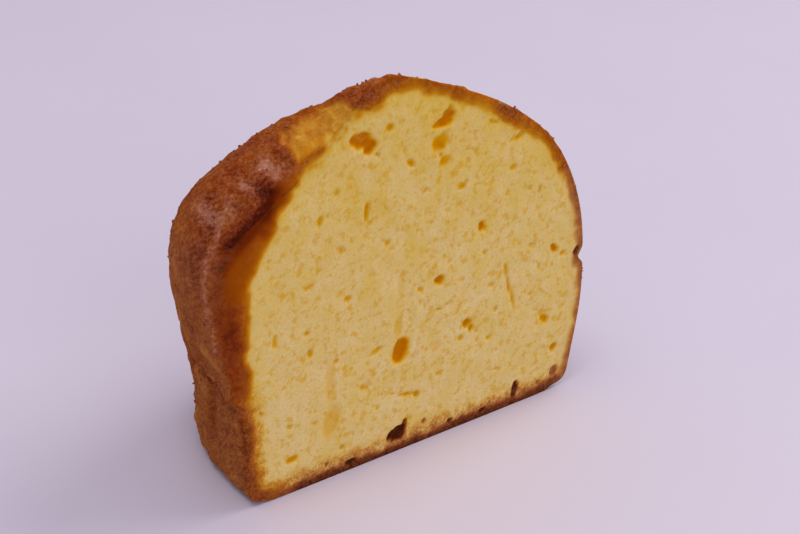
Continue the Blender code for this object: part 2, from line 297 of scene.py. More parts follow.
def ring_depths():
    """Depths of the fine rings, close together on the lip, and of the coarse rings behind."""
    fine = FINE_STEP * np.arange(FINE_RINGS + 1) ** 2
    share = np.linspace(fine[-1] / DEPTH, CAP_STARTS, 400)
    height = HEIGHT * superellipse(share, SIDE_POWER) * (1.0 - DOME_FALL * share)
    steps = np.hypot(np.diff(share) * DEPTH, np.diff(height))
    length = np.concatenate([[0.0], np.cumsum(steps)])
    count = round(length[-1] / RING_PITCH)
    coarse = np.interp(np.linspace(0.0, length[-1], count + 1)[1:], length, share) * DEPTH
    return fine, coarse


def cap_points(section, inward):
    """Inner points of the back end's grid: squares that shrink from the last ring to a pole."""
    columns, rows = CAP_COLUMNS, CAP_ROWS
    i, j = np.meshgrid(np.arange(1, columns), np.arange(1, rows), indexing="ij")
    u = 2.0 * i.ravel() / columns - 1.0
    v = 2.0 * j.ravel() / rows - 1.0
    radius = np.maximum(np.abs(u), np.abs(v))
    safe = np.maximum(radius, 1e-9)
    across = (u / safe + 1.0) / 2.0 * columns
    upward = (v / safe + 1.0) / 2.0 * rows
    on_left = u <= -radius + 1e-9
    on_top = v >= radius - 1e-9
    on_right = u >= radius - 1e-9
    place = np.select(
        [on_left, on_top, on_right],
        [upward, rows + across, rows + columns + (rows - upward)],
        2 * rows + columns + (columns - across))
    place = place % (2 * (rows + columns))
    ends = np.arange(len(section) + 1)
    rows_of_curve = [np.interp(place, ends, np.append(c, c[0])) for c in section.T]
    normals = [np.interp(place, ends, np.append(c, c[0])) for c in inward.T]
    start = superellipse(CAP_STARTS, CAP_POWER)
    depth = superellipse(radius * start, CAP_POWER) * DEPTH
    return loaf_surface(np.stack(rows_of_curve, axis=1), np.stack(normals, axis=1), depth)


def rim_order(columns, rows):
    """Indices of the grid corners on its rim, clockwise from the lower left."""
    stride = rows + 1
    left = list(range(rows))
    top = [i * stride + rows for i in range(columns)]
    right = [columns * stride + j for j in range(rows, 0, -1)]
    base = [i * stride for i in range(columns, 0, -1)]
    return np.array(left + top + right + base)


def coons_patch(rim, columns, rows):
    """Grid of points filling a closed rim, blended from its four sides."""
    left = rim[:rows + 1]
    top = rim[rows:rows + columns + 1]
    right = rim[rows + columns:2 * rows + columns + 1][::-1]
    base = np.vstack([rim[2 * rows + columns:], rim[:1]])[::-1]
    u = np.linspace(0.0, 1.0, columns + 1)[:, None, None]
    v = np.linspace(0.0, 1.0, rows + 1)[None, :, None]
    across = (1 - v) * base[:, None] + v * top[:, None]
    upward = (1 - u) * left[None] + u * right[None]
    lower = (1 - u) * base[0] + u * base[-1]
    upper = (1 - u) * top[0] + u * top[-1]
    return (across + upward - (1 - v) * lower - v * upper).reshape(-1, 3)


# ---- relief and browning

def pit_depth(places, pits, softness, raggedness, seed):
    """How deep a list of pits is at each place of the cut."""
    ragged = raggedness * layered_noise(places, 1.2, seed, 2)
    total = np.zeros(len(places))
    for across, up, width, height, tilt, depth in pits:
        reach = max(width, height)
        near = np.abs(places[:, 0] - across) < reach
        near &= np.abs(places[:, 2] - up) < reach
        dx = places[near, 0] - across
        dz = places[near, 2] - up
        turn = math.radians(tilt)
        u = (dx * math.cos(turn) + dz * math.sin(turn)) / (width / 2)
        v = (dz * math.cos(turn) - dx * math.sin(turn)) / (height / 2)
        uneven = ragged[near] * min(1.0, 2.2 / reach)
        pit = depth * blend((1.2 - np.hypot(u, v) - uneven) / softness)
        total[near] = np.maximum(total[near], pit)
    return total


def random_pores():
    """Small pores all over the cut, thicker in some patches, in the same form as HOLES."""
    rng = np.random.default_rng(SEED)
    pores = []
    while len(pores) < PORES:
        across = rng.uniform(0.0, WIDTH)
        up = rng.uniform(0.0, HEIGHT)
        crowd = noise(np.array([[across, 0.0, up]]), 9.0, 41)[0]
        size = 0.40 + 0.70 * rng.random() ** 2.2
        tall = rng.uniform(0.8, 1.9)
        tilt = rng.normal(0.0, 22.0)
        if rng.random() < 0.55 + 0.6 * crowd:
            pores.append((across, up, size, size * tall, tilt, 0.2 + 0.35 * size))
    return pores


def spot(places, centre, radii, softness=0.6):
    """1 inside an uneven ellipsoid, falling to 0 at its edge."""
    reach = np.linalg.norm((places - centre) / radii, axis=1)
    reach = reach + 0.18 * noise(places, 2.5, 51)
    return blend((1.0 - reach) / softness)


def near_line(places, line, width):
    """1 on a line of places, falling smoothly to 0 a few widths away."""
    return np.exp(-(line_distance(places, np.array(line)) / width) ** 2)


def crust_zones(places):
    """Share of each zone of the crust at each place."""
    x, y, z = places.T
    tear = blend(1.3 * near_line(places, TORN_TOP, 2.8) + 0.35 * noise(places, 1.8, 51))
    bump = np.maximum(
        spot(places, (27.6, 1.8, 72.9), (3.4, 5.0, 2.6)),
        spot(places, (31.5, 0.5, 74.2), (4.8, 3.2, 2.4)))
    strip = blend(1.5 * near_line(places, STRIP, 2.6)) * blend((3.2 - y) / 2.0)
    lobe = blend((22.0 - x) / 6.0) * blend((z - 38.0) / 14.0) * (1.0 - strip)
    lower = blend((24.0 - z) / 3.0) * blend((40.0 - x) / 8.0)
    leftward = blend((24.0 + 6.0 * noise(places, 9.0, 55) - x) / 12.0)
    wall = blend((56.0 - z) / 10.0) * blend((y - 1.2) / 1.2)
    wall = leftward * np.maximum(wall, lower * (0.4 + 0.6 * blend((y - 0.4) / 0.8)))
    inner = blend((10.0 - x) / 1.5) * blend((2.0 - y) / 0.8)
    inner = inner * blend((z - 22.0) / 4.0) * blend((54.0 - z) / 4.0)
    return {
        "inner": inner, "tear": tear, "bump": bump, "strip": strip, "lobe": lobe, "lower": lower,
        "wall": wall, "base": blend((1.5 - z) / 1.2),
        # Painted shade: "crease", "valley" and "dark" mark the crease, the valleys and the crevices,
        # whose colour is darkened for the shade that falls in them.
        "crease": np.maximum.reduce([
            near_line(places, CREASE, 1.0), near_line(places, CREASE_SHADE, 1.9),
            near_line(places, HOLLOW_SPOT, 1.7)]),
        "valley": near_line(places, VALLEY, 1.3),
        "dark": np.maximum.reduce([
            near_line(places, SKIRT, 0.9), near_line(places, UPRIGHT, 1.2),
            0.8 * near_line(places, LOW_VALLEY, 0.8), 0.7 * near_line(places, OUTER_VALLEY, 1.3)]),
        "ridge": near_line(places, RIDGE, 0.55),
        "sheen": np.maximum.reduce([near_line(places, line, width) for line, width in SHEENS]),
    }


def fold_rise(places):
    """How far the named folds lift the crust."""
    rise = np.zeros(len(places))
    for line, width, height in FOLDS:
        rise += height * near_line(places, line, width)
    return rise


def rough_rise(places, zones):
    """The uneven lumps of the crust between its folds."""
    rough = (1.0 - 0.85 * zones["strip"]) * (1.0 - 0.7 * zones["ridge"])
    rise = 0.32 * layered_noise(places, 7.0, 11)
    rise += 0.26 * rough * layered_noise(places, 2.6, 21, 2)
    rise += 0.16 * rough * noise(places, 1.3, 31)
    rise += 0.40 * zones["tear"] * layered_noise(places, 1.9, 61, 3)
    rise += zones["bump"] * (0.7 + 0.5 * layered_noise(places, 1.9, 71, 2))
    rise += 0.15 * zones["lower"] * noise(places, 1.5, 81)
    return rise


def crust_bake_and_painted_light(places, zones):
    """How dark the crust is baked: 0 pale crumb, 0.5 golden brown, 1 nearly burnt.
    Painted shade darkens its crease, valleys and crevices; painted highlight pales its ridge and parts of
    its wall.
    """
    x, _, z = places.T
    bake_and_painted_light = 0.71 + 0.10 * layered_noise(places, 6.0, 91) + 0.06 * noise(places, 1.8, 95)
    # Painted sheen: a stretch of the wall, and the wall lower down, are made paler.
    bake_and_painted_light -= 0.12 * near_line(places, WALL_PAINTED_SHEEN, 2.8)
    bake_and_painted_light -= 0.08 * zones["wall"] * blend((46.0 - z) / 12.0)
    bake_and_painted_light -= 0.18 * blend((x - 24.0) / 10.0) * blend((z - 30.0) / 20.0) * blend((84.0 - x) / 16.0)
    bake_and_painted_light += (0.63 - bake_and_painted_light) * zones["strip"]
    # Painted shade darkens the valleys and crevices.
    bake_and_painted_light += 0.14 * zones["valley"] + 0.26 * zones["dark"]
    # Painted highlight: the ridge's crest is made paler.
    bake_and_painted_light += (0.62 - bake_and_painted_light) * zones["ridge"]
    bake_and_painted_light += (0.76 - 0.16 * blend((x - 28.0) / 5.0) - bake_and_painted_light) * zones["bump"]
    bake_and_painted_light += (0.46 + 0.20 * layered_noise(places, 1.1, 97) - bake_and_painted_light) * zones["tear"]
    # Painted shade: the crease, the shade above it and the hollow spot are painted nearly burnt.
    bake_and_painted_light += (1.03 - bake_and_painted_light) * zones["crease"]
    bake_and_painted_light += (0.95 - 0.30 * blend((x - 9.0) / 3.0) * blend((20.0 - x) / 4.0) - bake_and_painted_light) * zones["base"]
    return bake_and_painted_light


def crust_share(edge):
    """Share of the crust's browning left at a distance past the crust's inner edge."""
    edges = [-2.8, -1.5, -0.6, 0.0, 0.5, 1.2, 3.6]
    return np.interp(edge, edges, [1.0, 0.90, 0.66, 0.38, 0.17, 0.09, 0.0])


def nearest_rim(points, rim):
    """Distance from each point of the cut to the rim, and the rim point that is nearest."""
    distance = np.empty(len(points))
    index = np.empty(len(points), int)
    size = 4000
    for start in range(0, len(points), size):
        block = slice(start, start + size)
        gaps = (points[block, 0, None] - rim[:, 0]) ** 2 + (points[block, 2, None] - rim[:, 2]) ** 2
        index[block] = gaps.argmin(axis=1)
        distance[block] = np.sqrt(gaps.min(axis=1))
    return distance, index


def torn_width(rim):
    """How far outside the rim the crust is torn off and crumb shows: only at the upper left."""
    x, _, z = rim.T
    return TORN_WIDTH * blend((x - 15.8) / 2.6) * blend((28.0 - x) / 3.5) * (z > 60.0)


def torn_gold(places, torn, outside):
    """Golden tinge of the torn crumb, from a little inside the rim to the crust's edge."""
    gold = 0.18 * blend((outside + 3.0) / 3.0) + 0.12 * blend(outside / 1.5)
    gold += 0.10 * layered_noise(places, 1.2, 135)
    marks = np.maximum(0.48 * near_line(places, TIP, 1.5), 0.28 * near_line(places, APEX_EDGE, 1.6))
    marks = marks * (1.0 + 0.3 * noise(places, 1.1, 139))
    return np.maximum(gold * torn / TORN_WIDTH, marks)


def cut_surface(face, rim, section, rim_bake_and_painted_light):
    """Relief and looks of the cut: how deep it lies at each point, browning, the painted shade of its
    pits, and fringe.
    """
    distance, index = nearest_rim(face, rim)
    by_base = blend((6.5 - face[:, 2]) / 5.5)
    torn = torn_width(rim)[index]
    ragged = 0.30 * layered_noise(face, 1.4, 101) + 0.45 * noise(face, 3.5, 105)
    edge = distance - np.maximum(section[index, CRUST], 0.2) + torn + ragged
    share = crust_share(edge * (1.0 + by_base))
    holes = pit_depth(face, HOLES, 0.75, 0.32, 111)
    scorched = pit_depth(face, SCORCHED_HOLES, 0.6, 0.3, 113)
    pores = pit_depth(face, random_pores(), 0.9, 0.35, 115)
    patches = pit_depth(face, PATCHES, 1.0, 0.15, 117)
    gold = torn_gold(face, torn, -distance)
    bake_and_painted_light = np.maximum.reduce([rim_bake_and_painted_light[index] * share, np.minimum(scorched, 1.1), gold])
    crumb = 0.05 * layered_noise(face, 1.5, 121, 2) + 0.12 * noise(face, 5.0, 125)
    relief = np.maximum.reduce([0.35 * holes, 0.6 * scorched, 0.3 * pores]) + 0.5 * patches + crumb
    # How much painted shade the holes, pores and patches get, up to 2 in the deepest holes.
    hollow_shade = np.maximum(np.minimum(holes / 0.9, 2.0), np.minimum(pores / 0.6, 0.6))
    hollow_shade = np.maximum(hollow_shade, np.minimum(patches / 0.8, 0.6))
    lip = blend(section[index, LIP_WIDTH] * HEIGHT / 3.0)
    relief += 0.3 * crust_zones(face)["tear"] * layered_noise(face, 1.3, 127)
    relief = relief * blend(distance / 0.7) - lip * fold_rise(face)
    side = blend((20.0 - face[:, 0]) / 5.0) * blend((28.0 - face[:, 2]) / 8.0) * blend((3.0 - edge) / 2.5)
    torn_fringe = 0.05 * blend((3.0 - distance) / 2.0) * torn / TORN_WIDTH
    fringe = np.maximum.reduce([by_base, 0.6 * side, torn_fringe])
    return relief, bake_and_painted_light, hollow_shade, fringe * (1.0 - share)


# ---- the slice's mesh

def unit(vectors):
    """Vectors of length 1 with the same directions."""
    return vectors / np.maximum(np.linalg.norm(vectors, axis=-1), 1e-9)[..., None]


def ring_normals(rings):
    """Outward unit normals of a block of rings, each as long as the next."""
    along = np.roll(rings, -1, axis=1) - np.roll(rings, 1, axis=1)
    back = np.gradient(rings, axis=0)
    return unit(np.cross(along, back))


def grid_normals(points, columns, rows):
    """Unit normals of a grid of points that faces back."""
    grid = points.reshape(columns + 1, rows + 1, 3)
    return unit(np.cross(np.gradient(grid, axis=1), np.gradient(grid, axis=0))).reshape(-1, 3)


def slice_rings():
    """The section, and the crust's rings and back end: first smooth, then with its relief."""
    section = smooth_section()
    inward = section_normals(section)
    fine_depths, coarse_depths = ring_depths()
    fine = np.array([loaf_surface(section, inward, depth) for depth in fine_depths])
    thin, thin_inward = section[::2], inward[::2]
    coarse = np.array([loaf_surface(thin, thin_inward, depth) for depth in coarse_depths])
    cap = np.zeros(((CAP_COLUMNS + 1) * (CAP_ROWS + 1), 3))
    on_rim, inside = cap_rim_and_inside()
    cap[on_rim] = coarse[-1]
    cap[inside] = cap_points(thin, thin_inward)
    return section, (fine, coarse, cap), relieved(fine, coarse, cap)


def cap_rim_and_inside():
    """Which points of the back end's grid are on its rim, in ring order, and which are not."""
    on_rim = rim_order(CAP_COLUMNS, CAP_ROWS)
    return on_rim, np.setdiff1d(np.arange((CAP_COLUMNS + 1) * (CAP_ROWS + 1)), on_rim)


def relieved(fine, coarse, cap):
    """The rings and the cap moved out by the crust's relief."""
    fine_out = ring_normals(fine)
    coarse_out = ring_normals(np.concatenate([fine[-1:, ::2], coarse]))[1:]
    cap_out = grid_normals(cap, CAP_COLUMNS, CAP_ROWS)
    cap_out[rim_order(CAP_COLUMNS, CAP_ROWS)] = coarse_out[-1]
    moved = []
    for block, out in ((fine, fine_out), (coarse, coarse_out), (cap, cap_out)):
        places = block.reshape(-1, 3)
        rough = rough_rise(places, crust_zones(places))
        folds = fold_rise(places)
        if block is fine:
            # The roughness fades to nothing at the rim, which has to stay flat.
            rough = rough * np.repeat(blend(np.arange(len(fine)) / 5.0), fine.shape[1])
        rise = (folds + rough) * blend(places[:, 2] / 1.2)
        moved.append((places + rise[:, None] * out.reshape(-1, 3)).reshape(block.shape))
    for block in moved:
        block[..., 2] = np.maximum(block[..., 2], 0.0)
    return moved


def ring_indices(fine, coarse):
    """Vertex indices of each ring: the cut's rim, then the fine rings, then the coarse ones."""
    rings = [rim_order(FACE_COLUMNS, FACE_ROWS)]
    start = (FACE_COLUMNS + 1) * (FACE_ROWS + 1)
    for ring in list(fine[1:]) + list(coarse):
        rings.append(np.arange(start, start + len(ring)))
        start += len(ring)
    return rings, start


def side_faces(rings, heights):
    """Faces between neighbouring rings, with the map column and height of every corner."""
    quads, fives = [], []
    whole = len(rings[0])
    for k, (a, b) in enumerate(zip(rings[:-1], rings[1:])):
        step = whole // len(b)
        column = np.arange(len(b)) * step
        front = np.full(len(b), heights[k])
        back = np.full(len(b), heights[k + 1])
        if len(a) == len(b):
            corners = [a, np.roll(a, -1), np.roll(b, -1), b]
            across = [column, column + step, column + step, column]
            quads.append(map_side(corners, across, [front, front, back, back]))
        else:
            corners = [a[::2], a[1::2], np.roll(a, -2)[::2], np.roll(b, -1), b]
            across = [column, column + 1, column + 2, column + 2, column]
            fives.append(map_side(corners, across, [front, front, front, back, back]))
    return quads, fives


def map_side(corners, across, up):
    """Faces and their places on the map, where the crust is laid out in three strips."""
    strip = across[0] // STRIP_COLUMNS
    places = [np.stack([STRIP_CORNERS[strip, 0] + (a - strip * STRIP_COLUMNS) * STRIP_PITCH,
                        STRIP_CORNERS[strip, 1] + u], axis=1) for a, u in zip(across, up)]
    return np.stack(corners, axis=1), np.stack(places, axis=1)


def grid_faces(index, columns, rows, corner, size, backwards=False):
    """Quads of a grid with the given vertex indices, laid out flat on the map."""
    index = index.reshape(columns + 1, rows + 1)
    i, j = np.meshgrid(np.arange(columns + 1) / columns, np.arange(rows + 1) / rows, indexing="ij")
    spots = np.stack([corner[0] + i * size[0], corner[1] + j * size[1]], axis=2)
    order = [(0, 0), (1, 0), (1, 1), (0, 1)]
    if backwards:
        order = order[::-1]
    faces, places = [], []
    for di, dj in order:
        faces.append(index[di:columns + di, dj:rows + dj].ravel())
        places.append(spots[di:columns + di, dj:rows + dj].reshape(-1, 2))
    return np.stack(faces, axis=1), np.stack(places, axis=1)


def torn_bake_and_painted_light(fine, section, bake_and_painted_light):
    """Browning of the fine rings' crust, with its painted shade and highlights, held back where crumb
    shows outside the cut's rim.
    """
    gaps = np.linalg.norm(np.diff(fine, axis=0), axis=2)
    outside = np.cumsum(gaps, axis=0)
    torn = np.broadcast_to(torn_width(fine[0]), outside.shape).ravel()
    crust = np.broadcast_to(np.maximum(section[:, CRUST], 0.2), outside.shape).ravel()
    places = fine[1:].reshape(-1, 3)
    edge = torn - crust - outside.ravel() + 0.22 * torn * layered_noise(places, 2.6, 131)
    gold = torn_gold(places, torn, outside.ravel())
    return np.maximum(bake_and_painted_light * crust_share(edge), np.minimum(gold, bake_and_painted_light))


def crust_places(fine, coarse, cap, inside):
    """The crust's vertices in the mesh's order: rings behind the rim, then the cap's inside."""
    return np.concatenate([fine[1:].reshape(-1, 3), coarse.reshape(-1, 3), cap[inside]])


def slice_mesh():
    """The whole slice as one closed mesh, with its looks as named values on its vertices."""
    section, smooth, (fine, coarse, cap) = slice_rings()
    rim = fine[0]
    flat_rim = rim * (1.0, 0.0, 1.0)
    face = coons_patch(flat_rim, FACE_COLUMNS, FACE_ROWS)
    rim_bake_and_painted_light = crust_bake_and_painted_light(rim, crust_zones(rim))
    relief, face_bake_and_painted_light, face_hollow_shade, face_fringe = cut_surface(face, flat_rim, section, rim_bake_and_painted_light)
    face[:, 1] += relief
    face[rim_order(FACE_COLUMNS, FACE_ROWS)] = rim
    on_rim, inside = cap_rim_and_inside()
    crust = crust_places(fine, coarse, cap, inside)
    bake_and_painted_light = crust_bake_and_painted_light(crust, crust_zones(crust))
    lip = fine[1:].size // 3
    bake_and_painted_light[:lip] = torn_bake_and_painted_light(fine, section, bake_and_painted_light[:lip])
    nothing = np.zeros(len(crust))
    looks = {"bake_and_painted_light": np.concatenate([face_bake_and_painted_light, bake_and_painted_light]),
             "hollow_shade": np.concatenate([face_hollow_shade, nothing]),
             "fringe": np.concatenate([face_fringe, nothing])}
    # The ridge's crest, which gets a painted highlight line.
    ridge = near_line(np.vstack([face, crust_places(*smooth, inside)]), RIDGE, 0.4)
    looks.update(finish_shares(np.vstack([face, crust]), looks["bake_and_painted_light"], ridge))
    rings, start = ring_indices(fine, coarse)
    ends = np.empty(len(cap), int)
    ends[on_rim] = rings[-1]
    ends[inside] = np.arange(start, start + len(inside))
    quads, fives = side_faces(rings, ring_heights(fine, coarse))
    quads.append(grid_faces(np.arange(len(face)), FACE_COLUMNS, FACE_ROWS, CUT_CORNER, CUT_SIZE))
    quads.append(grid_faces(ends, CAP_COLUMNS, CAP_ROWS, END_CORNER, CUT_SIZE, backwards=True))
    return np.vstack([face, crust]), quads + fives, looks


def finish_shares(places, bake_and_painted_light, ridge):
    """How glossy and grainy the surface is, and how muted its browning: most on the walls and low down.
    On the walls and the right rim the muted pinkish browns are a painted sheen.
    """
    zones = crust_zones(places)
    x, _, z = places.T
    crusty = blend((bake_and_painted_light - 0.25) / 0.35)
    # Gloss sets the roughness and coat, and also how strong the painted highlight in the crust's colour
    # is; the shining places and the ridge's crest get the most.
    gloss = 0.12 + 0.16 * zones["lobe"] + 0.15 * zones["bump"] + 0.9 * zones["sheen"]
    gloss = gloss * (1.0 - 0.8 * zones["strip"]) * (1.0 - 0.7 * zones["base"])
    gloss = gloss * (1.0 - 0.6 * zones["tear"]) * (1.0 - 0.8 * zones["crease"])
    gloss = gloss * (1.0 - 0.6 * zones["valley"])
    # Painted highlight line along the ridge's crest.
    gloss += 0.66 * ridge
    grain = 0.72 - 0.06 * zones["lobe"] - 0.15 * zones["wall"] + 0.2 * zones["lower"]
    grain -= np.maximum(0.75 * zones["strip"], 0.5 * zones["inner"])
    grain = grain * (1.0 - 0.7 * zones["ridge"]) * (1.0 - 0.6 * zones["valley"])
    # Muted, pinkish browning: on the right rim and the wall it is a painted sheen; low down and on the
    # torn patch it is the crust's own duller browning.
    muted_and_painted_sheen = blend((x - 74.0) / 6.0) * blend((66.0 - z) / 12.0)
    muted_and_painted_sheen = np.maximum(muted_and_painted_sheen, blend((7.0 - z) / 5.0) * blend((x - 9.0) / 12.0))
    muted_and_painted_sheen = np.maximum.reduce([muted_and_painted_sheen, 0.3 * zones["tear"], 0.7 * zones["wall"] * (1.0 - zones["dark"])])
    grain = np.clip(grain, 0.05, 1.0) * crusty
    return {"gloss": np.clip(gloss, 0.0, 1.2) * crusty, "muted_and_painted_sheen": muted_and_painted_sheen,
            "grain": np.maximum(grain, 0.5 * zones["tear"])}


def ring_heights(fine, coarse):
    """Height of each ring on the map, from how far it is to the ring before it."""
    gaps = [np.linalg.norm(np.diff(fine, axis=0), axis=2)]
    gaps.append(np.linalg.norm(coarse[:1] - fine[-1:, ::2], axis=2))
    gaps.append(np.linalg.norm(np.diff(coarse, axis=0), axis=2))
    steps = np.concatenate([(gap.mean(axis=1) + gap.max(axis=1)) / 2 for gap in gaps])
    length = np.concatenate([[0.0], np.cumsum(steps)])
    return length / length[-1] * STRIP_HEIGHT


def new_object(name, data):
    """An object in the scene that shows some data."""
    thing = bpy.data.objects.new(name, data)
    bpy.context.scene.collection.objects.link(thing)
    return thing


def add_mesh(name, places, blocks, looks, shift):
    """A mesh object from millimetre places, blocks of faces with map places, and looks."""
    mesh = bpy.data.meshes.new(name)
    faces = [face for block, _ in blocks for face in block.tolist()]
    mesh.from_pydata((places * MM + shift).tolist(), [], faces)
    layer = mesh.uv_layers.new(name="OFBake")
    spots = np.concatenate([block.reshape(-1) for _, block in blocks])
    layer.data.foreach_set("uv", spots.astype(np.float32))
    for key, values in looks.items():
        attribute = mesh.attributes.new(key, "FLOAT", "POINT")
        attribute.data.foreach_set("value", values.astype(np.float32))
    mesh.shade_smooth()
    mesh.update()
    return new_object(name, mesh)


# ---- materials

def srgb(red, green, blue):
    """Linear colour of an 8-bit screen colour."""
    shares = np.array([red, green, blue]) / 255.0
    linear = np.where(shares <= 0.04045, shares / 12.92, ((shares + 0.055) / 1.055) ** 2.4)
    return (*linear.tolist(), 1.0)


CRUMB_LIGHT = srgb(232, 208, 142)
CRUMB_DEEP = srgb(226, 194, 92)
CRUMB_BLOT = srgb(220, 170, 34)
# Painted shade inside holes and pores: golden orange, and darker orange in the deepest holes.
HOLLOW_SHADE = srgb(224, 168, 8)
DEEP_HOLLOW_SHADE = srgb(204, 120, 2)
CRUST_COLOURS = [
    (0.00, srgb(226, 194, 92)), (0.14, srgb(222, 174, 50)), (0.30, srgb(202, 136, 22)),
    (0.46, srgb(184, 104, 4)), (0.62, srgb(158, 78, 3)), (0.76, srgb(138, 58, 7)),
    (0.88, srgb(116, 40, 5)), (1.00, srgb(80, 20, 1)),
]
# Pale pinkish colour of the painted highlights on the crust.
PAINTED_HIGHLIGHT = srgb(206, 150, 120)
# Low down, on the left wall and on the right the browning has less orange in it; its pinkish browns on
# the wall and the right rim are a painted sheen.
MUTED_AND_PAINTED_SHEEN_COLOURS = [
    (0.00, srgb(228, 200, 124)), (0.22, srgb(212, 162, 78)), (0.45, srgb(184, 118, 60)),
    (0.70, srgb(144, 79, 42)), (1.00, srgb(92, 36, 8)),
]


class Nodes:
    """Short ways to add and join the nodes of one material."""

    def __init__(self, name):
        self.material = bpy.data.materials.new(name)
        self.material.use_nodes = True
        self.tree = self.material.node_tree
        self.shader = self.tree.nodes["Principled BSDF"]

    def add(self, kind, inputs=None, **settings):
        """A new node, with its settings made and its inputs joined."""
        node = self.tree.nodes.new("ShaderNode" + kind)
        for key, value in settings.items():
            setattr(node, key, value)
        for key, value in (inputs or {}).items():
            self.join(value, node.inputs[key])
        return node

    def join(self, value, socket):
        """Link an output to an input, or store a plain value in it."""
        if isinstance(value, bpy.types.NodeSocket):
            self.tree.links.new(value, socket)
        else:
            socket.default_value = value

    def set_input(self, name, value):
        """Set one input of the shader."""
        self.join(value, self.shader.inputs[name])

    def math(self, operation, first, second=0.0, third=0.0):
        node = self.add("Math", {0: first, 1: second, 2: third}, operation=operation)
        return node.outputs[0]

    def value(self, name):
        """One of the looks on the mesh."""
        return self.add("Attribute", attribute_name=name).outputs["Fac"]

    def place(self):
        """Place in the mesh's own metres."""
        return self.add("TexCoord").outputs["Object"]

    def noise(self, place, cell, detail=2.0, roughness=0.5):
        """Noise with lumps about one cell wide, in millimetres."""
        inputs = {"Vector": place, "Scale": 1.0 / (cell * MM), "Detail": detail,
                  "Roughness": roughness}
        return self.add("TexNoise", inputs).outputs["Fac"]

    def ramp(self, factor, stops):
        """Colour at a factor between stops of position and colour."""
        node = self.add("ValToRGB", {"Fac": factor})
        elements = node.color_ramp.elements
        while len(elements) < len(stops):
            elements.new(0.5)
        for element, (position, colour) in zip(elements, stops):
            element.position = position
            element.color = colour
        return node.outputs["Color"]

    def rescale(self, value, start, end, to_start=0.0, to_end=1.0):
        """The range from start to end laid over another range, and held to it."""
        inputs = {"Value": value, "From Min": start, "From Max": end, "To Min": to_start,
                  "To Max": to_end}
        return self.add("MapRange", inputs, clamp=True).outputs["Result"]

    def pores(self, place, cell, core, edge):
        """Round pores of uneven size in about half of the cells: 1 inside, 0 outside."""
        cells = self.add("TexVoronoi", {"Vector": place, "Scale": 1.0 / (cell * MM)})
        size = self.add("SeparateColor", {"Color": cells.outputs["Color"]})
        reach = self.math("MULTIPLY_ADD", size.outputs[0], -0.34, 0.22)
        reach = self.math("ADD", cells.outputs["Distance"], reach)
        return self.rescale(reach, core, edge, 1.0, 0.0)

    def let_light_in(self, depth):
        """Let light in under the surface, red deepest, to about a depth in millimetres."""
        self.set_input("Subsurface Weight", 0.3)
        self.set_input("Subsurface Radius", (1.0, 0.5, 0.1))
        self.set_input("Subsurface Scale", depth * MM)

    def mix(self, factor, first, second):
        """The first colour turning into the second as the factor grows."""
        node = self.add("Mix", {0: factor, 6: first, 7: second}, data_type="RGBA")
        return node.outputs[2]


def crumb_colour(nodes, place, hollow_shade):
    """Yellow crumb: soft clouds and streaks, fine specks, small ragged pores drawn only as painted shade,
    and painted shade in the mesh's holes and pores, darker orange in the deepest.
    """
    upright = nodes.add("Mapping", {"Vector": place, "Scale": (1.0, 1.0, 0.15)})
    streaks = nodes.noise(upright.outputs["Vector"], 1.8, 2.0)
    clouds = nodes.noise(place, 5.0, 4.0, 0.6)
    mottle = nodes.math("MULTIPLY_ADD", streaks, 0.3, nodes.math("MULTIPLY", clouds, 0.7))
    height = nodes.add("SeparateXYZ", {"Vector": place}).outputs["Z"]
    deeper = nodes.rescale(height, slice_low[2] + 30 * MM, slice_high[2], -0.04, 0.18)
    mottle = nodes.math("ADD", mottle, deeper)
    crumb = nodes.mix(nodes.rescale(mottle, 0.34, 0.74), CRUMB_LIGHT, CRUMB_DEEP)
    blots = nodes.rescale(nodes.noise(place, 1.5, 3.0, 0.65), 0.53, 0.66)
    specks = nodes.rescale(nodes.noise(place, 0.5, 2.0, 0.6), 0.48, 0.66)
    spotted = nodes.math("MULTIPLY_ADD", blots, 0.6, nodes.math("MULTIPLY", specks, 0.35))
    crumb = nodes.mix(spotted, crumb, CRUMB_BLOT)
    wobble = nodes.add("TexNoise", {"Vector": place, "Scale": 1.0 / (0.8 * MM)})
    bending = {0: wobble.outputs["Color"], 1: (1.3 * MM,) * 3, 2: place}
    bent = nodes.add("VectorMath", bending, operation="MULTIPLY_ADD")
    pores = nodes.math("MULTIPLY", nodes.pores(bent.outputs[0], 2.3, 0.04, 0.26), 0.7)
    # Painted shade: the share of the hollow colour from the mesh's holes and from the drawn pores.
    sink = nodes.math("MAXIMUM", hollow_shade, pores)
    uneven = nodes.math("MULTIPLY_ADD", nodes.noise(place, 1.6, 2.0), 1.6, hollow_shade)
    shade = nodes.rescale(uneven, 1.7, 2.8)
    return nodes.mix(sink, crumb, nodes.mix(shade, HOLLOW_SHADE, DEEP_HOLLOW_SHADE)), sink


